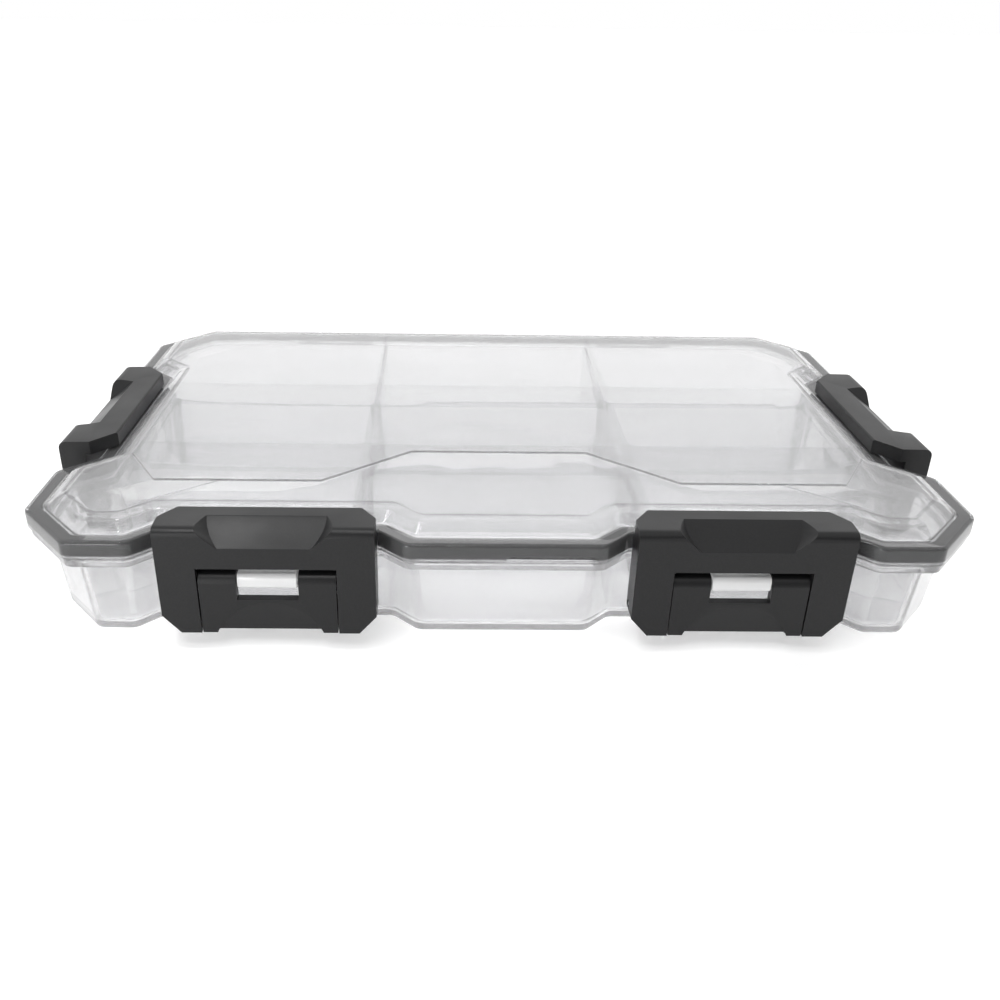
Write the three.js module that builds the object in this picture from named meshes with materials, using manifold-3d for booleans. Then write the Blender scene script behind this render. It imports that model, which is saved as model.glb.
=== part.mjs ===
// A clear waterproof tackle box: a moulded tray with nine compartments, a hinged lid with a rubber seal,
// and four black over-centre latches. Millimetres, +Z up, -Y the front. The origin is at the middle of
// the bounding box's bottom face, on the surface that the box stands on.
import * as THREE from "three";
import { mergeVertices } from "three/addons/utils/BufferGeometryUtils.js";
import Module from "manifold-3d";

const wasm = await Module();
wasm.setup();

// ---------- driving dimensions ----------
// The rim's outline, seen from above. Depths are measured from the front of the rim.
const RIM_WIDTH = 360;
const RIM_DEPTH = 242;
const SIDE_LATCH_FORWARD = 4; // how far the side latches stand forward of the middle of the depth
const SIDE_LATCH_Y = RIM_DEPTH / 2 - SIDE_LATCH_FORWARD;
const CORNER_CUT_X = 22.5;
const CORNER_CUT_Y = 25;
const FRONT_LATCH_X = 85.5; // from the middle of the box to the middle of a front latch
const RIM_CORNER_R = 5;
const RIM_CORNER_STEPS = 3;
const RIM_CORNER_SHARE = 0.42; // the most of a side that a corner's rounding may take

// Heights. The rim's top is the datum for the lid, the seal and the latches.
const RIM_Z = 43.8;
const SKIRT_H = 7.5; // the lid's rim, from its top face to the parting line
const SKIRT_GAP = 0.3;
const LEDGE_T = 3.2; // the tray's flange
const LID_RISE = 5; // the lid's flat top above its rim
const LID_SHOULDER_RISE = 3.8;

// Walls.
const TRAY_WALL = 2;
const TRAY_FLOOR = 2;
const LID_WALL = 1.9;
const LEDGE_INSET = 1;
const TRAY_INSET_TOP = 6.5; // outer face of the tray's wall under the flange
const TRAY_INSET_BOTTOM = 9.8; // and at the floor: the wall has draft
const RIM_FLAT = 6.5; // flat top of the lid's rim
const SHOULDER_INSET = 10.5;
const TOP_INSET = 14;

// The seal and its channel.
const CHANNEL_INSET = 1.6; // thickness of the skirt outside the channel
const CHANNEL_W = 3.8;
const CHANNEL_ROOF = 1.1; // plastic left over the channel
const CHANNEL_LIP = 1.5; // wall inside the channel
const SEAL_CLEAR = 0.3;
const SEAL_H = 3.6;
const TONGUE_W = 2;

// The raised panel on the lid.
const PANEL_H = 0.6;
const PANEL_SIDE_X = 150;
const PANEL_FRONT_Y = 40;
const PANEL_BACK_Y = 197;
const PANEL_CUT_X = 15;
const PANEL_CUT_Y = 24;
const PANEL_NOTCH_Y = 68;
const PANEL_NOTCH_X = 36;
const PANEL_NOTCH_SLOPE = 34;

// Finger notch in the lid's front skirt.
const NOTCH_X = [0, 35];
const NOTCH_H = 2.2;

// Inside of the tray.
const PARTITION_X = 56.5;
const PARTITION_T = 1.8;
const PARTITION_DROP = 8.6; // from the rim's top down to the partitions
const DIVIDER_Y = [86, 156];
const DIVIDER_T = 1.6;
const DIVIDER_DROP = 9.2;
const DIVIDER_CLEAR = 0.35;
const GUIDE_T = 1.2;
const GUIDE_DEPTH = 1.6;
const OVERLAP = 0.5; // how far two solids that become one run into each other
const CLEAR_OF = 60; // a cut reaches this far past what it cuts

// Latches. A latch's own frame has x along its width, y towards the box from the rim's front plane and
// z from the rim's top face.
const LATCH_PROUD = 2.6;
const LATCH_SIDE_CLEAR = 0.5;
const LATCH_BOTTOM = -36.4;
const LATCH_BACK = 8;
const HOOK_TOP = 7;
const HOOK_UNDER = 1.1;
const HOOK_REACH = 5.6; // how far the hook lies over the rim
const HOOK_EDGE = 0.6; // chamfer on the hook's upper rear edge
const HOOK_CUT_Y = 9.6;
const FRONT_ROUND = 3.6;
const FRONT_ROUND_STEPS = 6;
const CREST_FALL = 0.2; // the top face falls this much to where the rounding starts
const LEG_CUT_X = 6.4;
const LEG_CUT_Z = 7.5;
const OPENING_TOP = -9.2;
const LEVER_GAP = 0.4;
const LEVER_FACE = -2.2;
const LEVER_PLATE_T = 3.4;
const LEVER_SIDE_T = 2.6;
const LEVER_BACK = 8;
const LEVER_SIDE_CUT = 4;
const LEVER_FOOT_W = 5.5; // the lever's lower corners stand below its edge as small feet
const LEVER_FOOT_H = 0.6;
const BARREL_R = 3.9;
const PIVOT_Z = -15.6;
const FRAME_PIVOT = { y: 5.4, z: -27.5 };
const WINDOW_BOTTOM = -22.2;
const PIN_R = 1.2;
const PIN_CLEAR = 0.3;
const PIN_END = 0.2;
const SCOOP_W = 39;
const SCOOP_H = 13;
const SCOOP_DEPTH = 1.8;
const SCOOP_SIDES = 40;
const FRAME_WALL = 2.6;
const RAMP_TOP_Y = 8.3;
const RAMP_BOTTOM_Z = -0.8;
const RAMP_FLARE = 0.9; // how far the ramp's side walls lean out for each millimetre of height
const RAMP_CUT_H = 9;
const RAMP_SHARES = [-0.3, 0, 0.2, 0.4, 0.6, 0.8, 1, 1.3]; // places along the ramp, of its length
const LATCHES = {
  front: { width: 78, lever: 49.4, window: 22.3, recess: 9.5, slant: 10, rampTop: 43, rampBottom: 33, hookCut: 6 },
  side: { width: 92, lever: 56, window: 25, recess: 13.5, slant: 12.5, rampTop: 50, rampBottom: 40, hookCut: 10 },
};

// Rear hinge.
const HINGE_X = 85.5;
const HINGE_R = 3.2;
const HINGE_BACK = 3.8; // from the rim's rear face to the hinge's axis
const HINGE_MIDDLE = 20;
const HINGE_END = 10;
const HINGE_GAP = 0.4;
const HINGE_WEB_T = 3;

// ---------- values that follow ----------
const BOX_Y = (LATCH_PROUD - HINGE_BACK - HINGE_R) / 2 - RIM_DEPTH / 2; // rim front plane in the part's frame
const PARTING_Z = RIM_Z - SKIRT_H;
const LEDGE_TOP = PARTING_Z - SKIRT_GAP;
const LEDGE_BOTTOM = LEDGE_TOP - LEDGE_T;
const SEAL_TOP = RIM_Z - CHANNEL_ROOF - SEAL_CLEAR;
const TONGUE_TOP = SEAL_TOP - SEAL_H - SEAL_CLEAR;
const PIVOT_Y = LEVER_FACE + BARREL_R;
const HINGE_Y = RIM_DEPTH + HINGE_BACK;
const HALF = RIM_WIDTH / 2;

// ---------- solids ----------
const V2 = (x, y) => new THREE.Vector2(x, y);

function solid(geometry) {
  const g = geometry.clone();
  for (const name of ["normal", "uv"]) g.deleteAttribute(name);
  const merged = mergeVertices(g, 1e-4);
  return new wasm.Manifold(
    new wasm.Mesh({
      numProp: 3,
      vertProperties: merged.attributes.position.array,
      triVerts: new Uint32Array(merged.index.array),
    }),
  );
}

function geometryOf(manifold) {
  const mesh = manifold.getMesh();
  const g = new THREE.BufferGeometry();
  g.setAttribute("position", new THREE.BufferAttribute(mesh.vertProperties, 3));
  g.setIndex(new THREE.BufferAttribute(mesh.triVerts, 1));
  g.computeVertexNormals();
  return g;
}

function box([x0, x1], [y0, y1], [z0, z1]) {
  const g = new THREE.BoxGeometry(x1 - x0, y1 - y0, z1 - z0);
  return solid(g.translate((x0 + x1) / 2, (y0 + y1) / 2, (z0 + z1) / 2));
}

// A round bar along x. A bore is made round its circle, so that it is never tighter than its radius.
function bar(r, [x0, x1], y, z, sides = 16, isBore = false) {
  const radius = isBore ? r / Math.cos(Math.PI / sides) : r;
  const g = new THREE.CylinderGeometry(radius, radius, x1 - x0, sides).rotateZ(Math.PI / 2);
  return solid(g.translate((x0 + x1) / 2, y, z));
}

// A profile in (y, z) pushed along x.
function alongX(points, [x0, x1]) {
  const g = new THREE.ExtrudeGeometry(new THREE.Shape(points), { depth: x1 - x0, bevelEnabled: false });
  // the shape's x and y become y and z, and its depth becomes x
  const turn = new THREE.Matrix4().makeBasis(
    new THREE.Vector3(0, 1, 0),
    new THREE.Vector3(0, 0, 1),
    new THREE.Vector3(1, 0, 0),
  );
  return solid(g.applyMatrix4(turn).translate(x0, 0, 0));
}

// A profile in (x, z) pushed along y.
function alongY(points, [y0, y1]) {
  const g = new THREE.ExtrudeGeometry(new THREE.Shape(points), { depth: y1 - y0, bevelEnabled: false });
  return solid(g.rotateX(Math.PI / 2).translate(0, y1, 0));
}

// A profile in (x, y) pushed along z.
function alongZ(points, [z0, z1]) {
  const g = new THREE.ExtrudeGeometry(new THREE.Shape(points), { depth: z1 - z0, bevelEnabled: false });
  return solid(g.translate(0, 0, z0));
}

const unite = (parts) => parts.reduce((all, part) => all.add(part));
const cut = (body, parts) => parts.reduce((all, part) => all.subtract(part), body);

// ---------- the rim's outline ----------
// Anticlockwise from the left end of the front edge, with a recess for each latch.
function rimCorners() {
  const { front, side } = LATCHES;
  const frontHalf = front.width / 2 + LATCH_SIDE_CLEAR;
  const sideHalf = side.width / 2 + LATCH_SIDE_CLEAR;
  const rightFront = [
    V2(FRONT_LATCH_X - frontHalf - front.slant, 0),
    V2(FRONT_LATCH_X - frontHalf, front.recess),
    V2(FRONT_LATCH_X + frontHalf, front.recess),
    V2(FRONT_LATCH_X + frontHalf + front.slant, 0),
    V2(HALF - CORNER_CUT_X, 0),
  ];
  const rightSide = [
    V2(HALF, CORNER_CUT_Y),
    V2(HALF, SIDE_LATCH_Y - sideHalf - side.slant),
    V2(HALF - side.recess, SIDE_LATCH_Y - sideHalf),
    V2(HALF - side.recess, SIDE_LATCH_Y + sideHalf),
    V2(HALF, SIDE_LATCH_Y + sideHalf + side.slant),
    V2(HALF, RIM_DEPTH - CORNER_CUT_Y),
  ];
  const right = [...rightFront, ...rightSide, V2(HALF - CORNER_CUT_X, RIM_DEPTH)];
  const left = right.map((p) => V2(-p.x, p.y)).reverse();
  return [...right, ...left];
}

// The outline moved inwards by inset, with each corner rounded.
function outline(inset) {
  const corners = rimCorners();
  const n = corners.length;
  const moved = corners.map((p, i) => {
    const a = p.clone().sub(corners[(i + n - 1) % n]).normalize();
    const b = corners[(i + 1) % n].clone().sub(p).normalize();
    const inwards = V2(-a.y - b.y, a.x + b.x);
    return p.clone().addScaledVector(inwards, inset / (1 + a.dot(b)));
  });
  return moved.flatMap((p, i) => {
    const toLast = moved[(i + n - 1) % n].clone().sub(p);
    const toNext = moved[(i + 1) % n].clone().sub(p);
    const half = (Math.PI - toLast.angleTo(toNext)) / 2;
    const most = RIM_CORNER_SHARE * Math.min(toLast.length(), toNext.length());
    const tangent = Math.min(RIM_CORNER_R * Math.tan(half), most);
    const from = p.clone().addScaledVector(toLast.normalize(), tangent);
    const to = p.clone().addScaledVector(toNext.normalize(), tangent);
    return new THREE.QuadraticBezierCurve(from, p, to).getPoints(RIM_CORNER_STEPS);
  });
}

// A closed solid through rings of the outline, each given as [inset, z], from the bottom up.
function stack(levels) {
  const first = outline(levels[0][0]);
  const steps = levels.length - 1;
  const g = new THREE.ExtrudeGeometry(new THREE.Shape(first), { depth: steps, steps, bevelEnabled: false });
  const rings = levels.map(([inset]) => outline(inset));
  const at = g.attributes.position;
  for (let i = 0; i < at.count; i++) {
    const level = Math.round(at.getZ(i));
    const here = V2(at.getX(i), at.getY(i));
    const corner = first.findIndex((p) => p.distanceTo(here) < 1e-3);
    const p = rings[level][corner];
    at.setXYZ(i, p.x, p.y, levels[level][1]);
  }
  return solid(g);
}

const ring = (outer, inner, z0, z1) =>
  stack([
    [outer, z0],
    [outer, z1],
  ]).subtract(
    stack([
      [inner, z0 - 1],
      [inner, z1 + 1],
    ]),
  );

// ---------- where the latches and hinges sit ----------
const LATCH_PLACES = [
  { name: "front_left", kind: "front", x: -FRONT_LATCH_X, y: 0, turn: 0 },
  { name: "front_right", kind: "front", x: FRONT_LATCH_X, y: 0, turn: 0 },
  { name: "side_left", kind: "side", x: -HALF, y: SIDE_LATCH_Y, turn: -90 },
  { name: "side_right", kind: "side", x: HALF, y: SIDE_LATCH_Y, turn: 90 },
];
const HINGES = [
  { name: "left", x: -HINGE_X },
  { name: "right", x: HINGE_X },
];
const placed = (body, place) => body.rotate([0, 0, place.turn]).translate([place.x, place.y, RIM_Z]);

// ---------- tray ----------
function trayOuter() {
  return stack([
    [TRAY_INSET_BOTTOM, 0],
    [TRAY_INSET_TOP, LEDGE_TOP],
  ]);
}

// Inset of the tray's inner wall face at a height.
function innerInset(z) {
  return TRAY_WALL + TRAY_INSET_BOTTOM + ((TRAY_INSET_TOP - TRAY_INSET_BOTTOM) * z) / LEDGE_TOP;
}

// The clear block that carries a latch's pivot pin: a barrel with a web back to the tray's wall.
function latchKnuckle({ kind }) {
  const { window, recess } = LATCHES[kind];
  const half = window / 2 - LEVER_GAP;
  const webBack = recess + TRAY_INSET_TOP + TRAY_WALL / 2;
  return bar(BARREL_R, [-half, half], PIVOT_Y, PIVOT_Z).add(
    box([-half, half], [PIVOT_Y, webBack], [PIVOT_Z - BARREL_R, PIVOT_Z + BARREL_R * 0.5]),
  );
}

function pinBore(width) {
  return bar(PIN_R + PIN_CLEAR, [-width, width], PIVOT_Y, PIVOT_Z, 16, true);
}

function hingeEnds(x) {
  const near = HINGE_MIDDLE / 2 + HINGE_GAP;
  return [-1, 1].map((side) => [x + side * near, x + side * (near + HINGE_END)].sort((a, b) => a - b));
}

function hingeBore(x) {
  return bar(PIN_R + PIN_CLEAR, [x - CLEAR_OF, x + CLEAR_OF], HINGE_Y, PARTING_Z, 16, true);
}

function tray() {
  const cavity = stack([
    [innerInset(TRAY_FLOOR), TRAY_FLOOR],
    [innerInset(LEDGE_TOP), LEDGE_TOP + 0.01],
    [innerInset(LEDGE_TOP), RIM_Z],
  ]);
  const ledge = ring(LEDGE_INSET, TRAY_INSET_TOP + TRAY_WALL / 2, LEDGE_BOTTOM, LEDGE_TOP);
  const tongueInset = CHANNEL_INSET + (CHANNEL_W - TONGUE_W) / 2;
  const tongue = ring(tongueInset, tongueInset + TONGUE_W, LEDGE_TOP - OVERLAP, TONGUE_TOP);
  let body = cut(unite([trayOuter(), ledge, tongue]), [cavity]);

  const partitionTop = RIM_Z - PARTITION_DROP;
  const guideTop = RIM_Z - DIVIDER_DROP;
  const foot = TRAY_FLOOR / 2;
  const inside = [];
  for (const side of [-1, 1]) {
    const x = side * PARTITION_X;
    inside.push(box([x - PARTITION_T / 2, x + PARTITION_T / 2], [0, RIM_DEPTH], [foot, partitionTop]));
    for (const y of DIVIDER_Y)
      for (const rib of [-1, 1]) {
        const near = y + rib * (DIVIDER_T / 2 + DIVIDER_CLEAR);
        const span = [near, near + rib * GUIDE_T].sort((a, b) => a - b);
        const deep = PARTITION_T / 2 + GUIDE_DEPTH;
        inside.push(box([x - deep, x + deep], span, [foot, guideTop]));
        const wall = side * (HALF - LATCHES.side.recess - innerInset(0));
        const wallSpan = [wall - side * GUIDE_DEPTH, side * HALF].sort((a, b) => a - b);
        inside.push(box(wallSpan, span, [foot, guideTop]));
      }
  }
  body = body.add(unite(inside).intersect(trayOuter()));

  for (const place of LATCH_PLACES) {
    body = body.add(placed(latchKnuckle(place), place));
    body = body.subtract(placed(pinBore(LATCHES[place.kind].width), place));
  }
  for (const { x } of HINGES) {
    for (const span of hingeEnds(x)) {
      const web = box(span, [RIM_DEPTH - TRAY_INSET_TOP - TRAY_WALL / 2, HINGE_Y], [
        PARTING_Z - HINGE_R,
        PARTING_Z - HINGE_R + HINGE_WEB_T - SKIRT_GAP,
      ]);
      body = body.add(bar(HINGE_R, span, HINGE_Y, PARTING_Z)).add(web);
    }
    body = body.subtract(hingeBore(x));
  }
  return body;
}

// A loose cross wall that drops between two pairs of guides. Its ends follow the draft of the walls.
function divider(column, y) {
  const bottom = TRAY_FLOOR + DIVIDER_CLEAR;
  const top = RIM_Z - DIVIDER_DROP;
  const partitionFace = PARTITION_X - PARTITION_T / 2 - DIVIDER_CLEAR;
  const wallFace = (z) => HALF - LATCHES.side.recess - innerInset(z) - DIVIDER_CLEAR;
  const ends = {
    left: [-wallFace(bottom), -partitionFace - PARTITION_T - 2 * DIVIDER_CLEAR, -wallFace(top)],
    middle: [-partitionFace, partitionFace, -partitionFace],
    right: [wallFace(bottom), partitionFace + PARTITION_T + 2 * DIVIDER_CLEAR, wallFace(top)],
  };
  const [lowOuter, inner, highOuter] = ends[column];
  const points = [V2(lowOuter, bottom), V2(inner, bottom), V2(inner, top), V2(highOuter, top)];
  return alongY(points, [y - DIVIDER_T / 2, y + DIVIDER_T / 2]);
}

// ---------- lid and seal ----------
function panelOutline() {
  const right = [
    V2(PANEL_NOTCH_X, PANEL_NOTCH_Y),
    V2(PANEL_NOTCH_X + PANEL_NOTCH_SLOPE, PANEL_FRONT_Y),
    V2(PANEL_SIDE_X - PANEL_CUT_X, PANEL_FRONT_Y),
    V2(PANEL_SIDE_X, PANEL_FRONT_Y + PANEL_CUT_Y),
    V2(PANEL_SIDE_X, PANEL_BACK_Y - PANEL_CUT_X),
    V2(PANEL_SIDE_X - PANEL_CUT_X, PANEL_BACK_Y),
  ];
  return [...right, ...right.map((p) => V2(-p.x, p.y)).reverse()];
}

function lid() {
  const outer = stack([
    [0, PARTING_Z],
    [0, RIM_Z],
    [RIM_FLAT, RIM_Z + 0.02],
    [SHOULDER_INSET, RIM_Z + LID_SHOULDER_RISE],
    [TOP_INSET, RIM_Z + LID_RISE],
  ]).add(alongZ(panelOutline(), [RIM_Z + LID_RISE - OVERLAP, RIM_Z + LID_RISE + PANEL_H]));
  const channelBack = CHANNEL_INSET + CHANNEL_W;
  const channel = ring(CHANNEL_INSET, channelBack, PARTING_Z - 1, RIM_Z - CHANNEL_ROOF);
  const lip = channelBack + CHANNEL_LIP;
  const cavity = stack([
    [lip, PARTING_Z - 1],
    [lip, RIM_Z - LID_WALL],
    [SHOULDER_INSET + LID_WALL / 2, RIM_Z + LID_SHOULDER_RISE - LID_WALL],
    [TOP_INSET + LID_WALL / 2, RIM_Z + LID_RISE - LID_WALL],
  ]);
  const notch = box(NOTCH_X, [-1, CHANNEL_INSET + 0.1], [PARTING_Z - 1, PARTING_Z + NOTCH_H]);
  let body = cut(outer, [channel, cavity, notch]);
  for (const { x } of HINGES) {
    const span = [x - HINGE_MIDDLE / 2, x + HINGE_MIDDLE / 2];
    const web = box(span, [RIM_DEPTH - CHANNEL_INSET / 2, HINGE_Y], [PARTING_Z, PARTING_Z + HINGE_R]);
    body = body.add(bar(HINGE_R, span, HINGE_Y, PARTING_Z)).add(web).subtract(hingeBore(x));
  }
  return body;
}

function seal() {
  return ring(CHANNEL_INSET + SEAL_CLEAR, CHANNEL_INSET + CHANNEL_W - SEAL_CLEAR, SEAL_TOP - SEAL_H, SEAL_TOP);
}

// ---------- latches ----------
const bottomCuts = (half) =>
  [-1, 1].map((side) =>
    alongY(
      [V2(0, 0), V2(LEG_CUT_X + 1, 0), V2(LEG_CUT_X + 1, LEG_CUT_Z + 1)].map((p) =>
        V2(side * (half - LEG_CUT_X + p.x), LATCH_BOTTOM + p.y - 0.01),
      ),
      [-CLEAR_OF, CLEAR_OF],
    ),
  );

// What the thumb ramp removes: everything above a sloping face whose sides curve out towards the top,
// between walls that lean outwards.
function rampCut({ rampTop, rampBottom }) {
  const foot = V2(-LATCH_PROUD, RAMP_BOTTOM_Z);
  const along = V2(RAMP_TOP_Y, HOOK_TOP).sub(foot);
  const out = V2(-along.y, along.x).normalize();
  const points = RAMP_SHARES.flatMap((share) => {
    const halfWidth = rampTop / 2 - ((rampTop - rampBottom) / 2) * Math.max(0, 1 - share) ** 2;
    return [0, RAMP_CUT_H].flatMap((height) => {
      const p = foot.clone().addScaledVector(along, share).addScaledVector(out, height);
      return [-1, 1].map((side) => [side * (halfWidth + height * RAMP_FLARE), p.x, p.y]);
    });
  });
  return wasm.Manifold.hull(points);
}

function latchFrame({ width, lever, recess, rampTop, rampBottom, hookCut }) {
  const half = width / 2;
  const reach = recess + HOOK_REACH;
  const crest = HOOK_TOP - CREST_FALL;
  const rounding = new THREE.QuadraticBezierCurve(
    V2(-LATCH_PROUD, HOOK_TOP - FRONT_ROUND),
    V2(-LATCH_PROUD, crest),
    V2(-LATCH_PROUD + FRONT_ROUND, crest),
  ).getPoints(FRONT_ROUND_STEPS);
  const back = Math.min(LATCH_BACK, recess - LATCH_SIDE_CLEAR);
  const profile = [
    V2(back, LATCH_BOTTOM),
    V2(back, HOOK_UNDER),
    V2(reach, HOOK_UNDER),
    V2(reach, HOOK_TOP - HOOK_EDGE),
    V2(reach - HOOK_EDGE, HOOK_TOP),
    ...rounding.reverse(),
    V2(-LATCH_PROUD, LATCH_BOTTOM),
  ];
  const body = alongX(profile, [-half, half]);
  const hookCuts = [-1, 1].map((side) =>
    alongZ(
      [V2(half - hookCut, reach + 0.01), V2(half + 1, reach + 0.01), V2(half + 1, reach - HOOK_CUT_Y)].map((p) =>
        V2(side * p.x, p.y),
      ),
      [HOOK_UNDER - 1, HOOK_TOP + 1],
    ),
  );
  const opening = lever / 2 + LEVER_GAP;
  const leverHole = box([-opening, opening], [-CLEAR_OF, CLEAR_OF], [LATCH_BOTTOM - 1, OPENING_TOP]);
  const ramp = rampCut({ rampTop, rampBottom });

  // hollows behind the legs and the bar, open to the back
  const hollows = [-1, 1].map((side) => {
    const span = [side * (opening + FRAME_WALL), side * (half - FRAME_WALL)].sort((a, b) => a - b);
    const low = LATCH_BOTTOM + LEG_CUT_Z * 0.6 + FRAME_WALL;
    return box(span, [-LATCH_PROUD + FRAME_WALL, CLEAR_OF], [low, OPENING_TOP - FRAME_WALL]);
  });
  const pinHole = bar(PIN_R + PIN_CLEAR, [-half - 1, half + 1], FRAME_PIVOT.y, FRAME_PIVOT.z, 16, true);
  return cut(body, [...hookCuts, ...bottomCuts(half), leverHole, ramp, ...hollows, pinHole]);
}

function latchLever({ lever, window }) {
  const half = lever / 2;
  const plate = box([-half, half], [LEVER_FACE, LEVER_FACE + LEVER_PLATE_T], [LATCH_BOTTOM, PIVOT_Z]);
  const sides = [-1, 1].map((side) => {
    const span = [side * (half - LEVER_SIDE_T), side * half].sort((a, b) => a - b);
    return alongX(
      [
        V2(LEVER_FACE, LATCH_BOTTOM),
        V2(LEVER_BACK, LATCH_BOTTOM + LEVER_SIDE_CUT),
        V2(LEVER_BACK, FRAME_PIVOT.z + LEVER_SIDE_CUT),
        V2(PIVOT_Y + BARREL_R * 0.8, PIVOT_Z),
        V2(LEVER_FACE, PIVOT_Z),
      ],
      span,
    );
  });
  const barrel = bar(BARREL_R, [-half, half], PIVOT_Y, PIVOT_Z);
  const windowHole = box([-window / 2, window / 2], [-CLEAR_OF, CLEAR_OF], [WINDOW_BOTTOM, CLEAR_OF]);
  const pivotHole = bar(PIN_R + PIN_CLEAR, [-half - 1, half + 1], PIVOT_Y, PIVOT_Z, 16, true);
  const pinHole = bar(PIN_R + PIN_CLEAR, [-half - 1, half + 1], FRAME_PIVOT.y, FRAME_PIVOT.z, 16, true);

  // the finger scoop: a round-topped hollow that deepens towards the lever's lower edge
  const r = (SCOOP_W ** 2 / 4 + SCOOP_H ** 2) / (2 * SCOOP_H);
  const tilt = Math.atan(SCOOP_DEPTH / SCOOP_H);
  const disc = new THREE.CylinderGeometry(r, r, 10, SCOOP_SIDES).translate(0, -5, -r).rotateX(tilt);
  const scoop = solid(disc.translate(0, LEVER_FACE, LATCH_BOTTOM + SCOOP_H));
  const arch = half - LEVER_FOOT_W;
  const edge = box([-arch, arch], [-CLEAR_OF, LEVER_FACE + LEVER_PLATE_T + 1], [-CLEAR_OF, LATCH_BOTTOM + LEVER_FOOT_H]);
  return cut(unite([plate, ...sides, barrel]), [windowHole, pivotHole, pinHole, scoop, edge]);
}

// ---------- the assembly ----------
const FINISH = {
  clear: { color: 0xe8ecee, roughness: 0.08, metalness: 0 },
  divider: { color: 0xdfe4e6, roughness: 0.12, metalness: 0 },
  rubber: { color: 0x3a3a3b, roughness: 0.8, metalness: 0 },
  black: { color: 0x2a2a2b, roughness: 0.45, metalness: 0 },
  steel: { color: 0xc8c9ca, roughness: 0.3, metalness: 1 },
};

const rimFrame = new THREE.Group(); // depths in it are measured from the front of the rim
rimFrame.position.y = BOX_Y;
const tackleBox = new THREE.Group();
tackleBox.add(rimFrame);

function addNode(parent, name, body, finish) {
  const mesh = new THREE.Mesh(geometryOf(body), new THREE.MeshStandardMaterial(FINISH[finish]));
  mesh.name = name;
  parent.add(mesh);
}

addNode(rimFrame, "base_tray", tray(), "clear");
addNode(rimFrame, "lid", lid(), "clear");
addNode(rimFrame, "seal_ring", seal(), "rubber");

for (const column of ["left", "middle", "right"])
  DIVIDER_Y.forEach((y, i) => {
    addNode(rimFrame, "divider_" + column + "_" + ["front", "rear"][i], divider(column, y), "divider");
  });

const hingePinHalf = HINGE_MIDDLE / 2 + HINGE_GAP + HINGE_END - PIN_END;
for (const { name, x } of HINGES) {
  const pin = bar(PIN_R, [x - hingePinHalf, x + hingePinHalf], HINGE_Y, PARTING_Z, 12);
  addNode(rimFrame, "hinge_pin_" + name, pin, "steel");
}

for (const place of LATCH_PLACES) {
  const size = LATCHES[place.kind];
  const latch = new THREE.Group();
  latch.position.set(place.x, place.y, RIM_Z);
  latch.rotation.z = THREE.MathUtils.degToRad(place.turn);
  rimFrame.add(latch);
  const pivotHalf = size.lever / 2 - PIN_END;
  const pinHalf = size.width / 2 - PIN_END;
  addNode(latch, "latch_frame_" + place.name, latchFrame(size), "black");
  addNode(latch, "latch_lever_" + place.name, latchLever(size), "black");
  addNode(latch, "lever_pin_" + place.name, bar(PIN_R, [-pivotHalf, pivotHalf], PIVOT_Y, PIVOT_Z, 12), "steel");
  addNode(
    latch,
    "frame_pin_" + place.name,
    bar(PIN_R, [-pinHalf, pinHalf], FRAME_PIVOT.y, FRAME_PIVOT.z, 12),
    "steel",
  );
}

export default tackleBox;
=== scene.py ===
"""A clear waterproof tackle box: moulded tray, hinged lid with a rubber seal, and four black over-centre
latches. Lengths in the sections are millimetres and become metres when a mesh is made. Depths are
measured inwards from the front of the lid's rim."""

import bmesh
import bpy
import numpy as np
from mathutils import Matrix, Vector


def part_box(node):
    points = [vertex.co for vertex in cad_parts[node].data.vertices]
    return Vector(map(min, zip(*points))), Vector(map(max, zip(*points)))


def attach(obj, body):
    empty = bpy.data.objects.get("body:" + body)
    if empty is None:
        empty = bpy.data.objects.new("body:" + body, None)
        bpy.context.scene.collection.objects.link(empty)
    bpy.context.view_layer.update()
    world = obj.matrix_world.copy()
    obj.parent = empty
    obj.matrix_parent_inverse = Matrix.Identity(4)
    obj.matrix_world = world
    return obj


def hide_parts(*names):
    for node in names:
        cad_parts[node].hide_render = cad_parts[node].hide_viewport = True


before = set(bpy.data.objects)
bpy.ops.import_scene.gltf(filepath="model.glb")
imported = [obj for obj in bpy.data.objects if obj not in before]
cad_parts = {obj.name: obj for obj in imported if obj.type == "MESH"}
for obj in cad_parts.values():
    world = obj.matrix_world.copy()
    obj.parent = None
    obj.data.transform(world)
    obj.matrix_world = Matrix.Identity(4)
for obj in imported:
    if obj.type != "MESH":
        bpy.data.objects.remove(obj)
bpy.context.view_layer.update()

# ---------------------------------------------------------------------------------------------------
# Camera. It stands a little left of the middle, at arm's length above a table, and looks down at the
# box with a short normal lens.
CAMERA_AT = (-0.021, -0.4227, 0.217)
CAMERA_DOWN = np.radians(26.5)
CAMERA_YAW = np.radians(1.0)
CAMERA_ROLL = np.radians(-0.95)

looking = np.array(
    [
        np.sin(CAMERA_YAW) * np.cos(CAMERA_DOWN),
        np.cos(CAMERA_YAW) * np.cos(CAMERA_DOWN),
        -np.sin(CAMERA_DOWN),
    ]
)
level_right = np.array([np.cos(CAMERA_YAW), -np.sin(CAMERA_YAW), 0.0])
level_down = np.cross(looking, level_right)
right = level_right * np.cos(CAMERA_ROLL) + level_down * np.sin(CAMERA_ROLL)
down = -level_right * np.sin(CAMERA_ROLL) + level_down * np.cos(CAMERA_ROLL)
camera_data = bpy.data.cameras.new("camera")
camera_data.lens = 35.1
camera_data.sensor_width = 36
camera_data.shift_x = 0.037
camera_data.shift_y = -0.015
camera = bpy.data.objects.new("camera", camera_data)
bpy.context.scene.collection.objects.link(camera)
turn = np.eye(4)
turn[:3, 0], turn[:3, 1], turn[:3, 2], turn[:3, 3] = right, -down, -looking, CAMERA_AT
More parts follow.
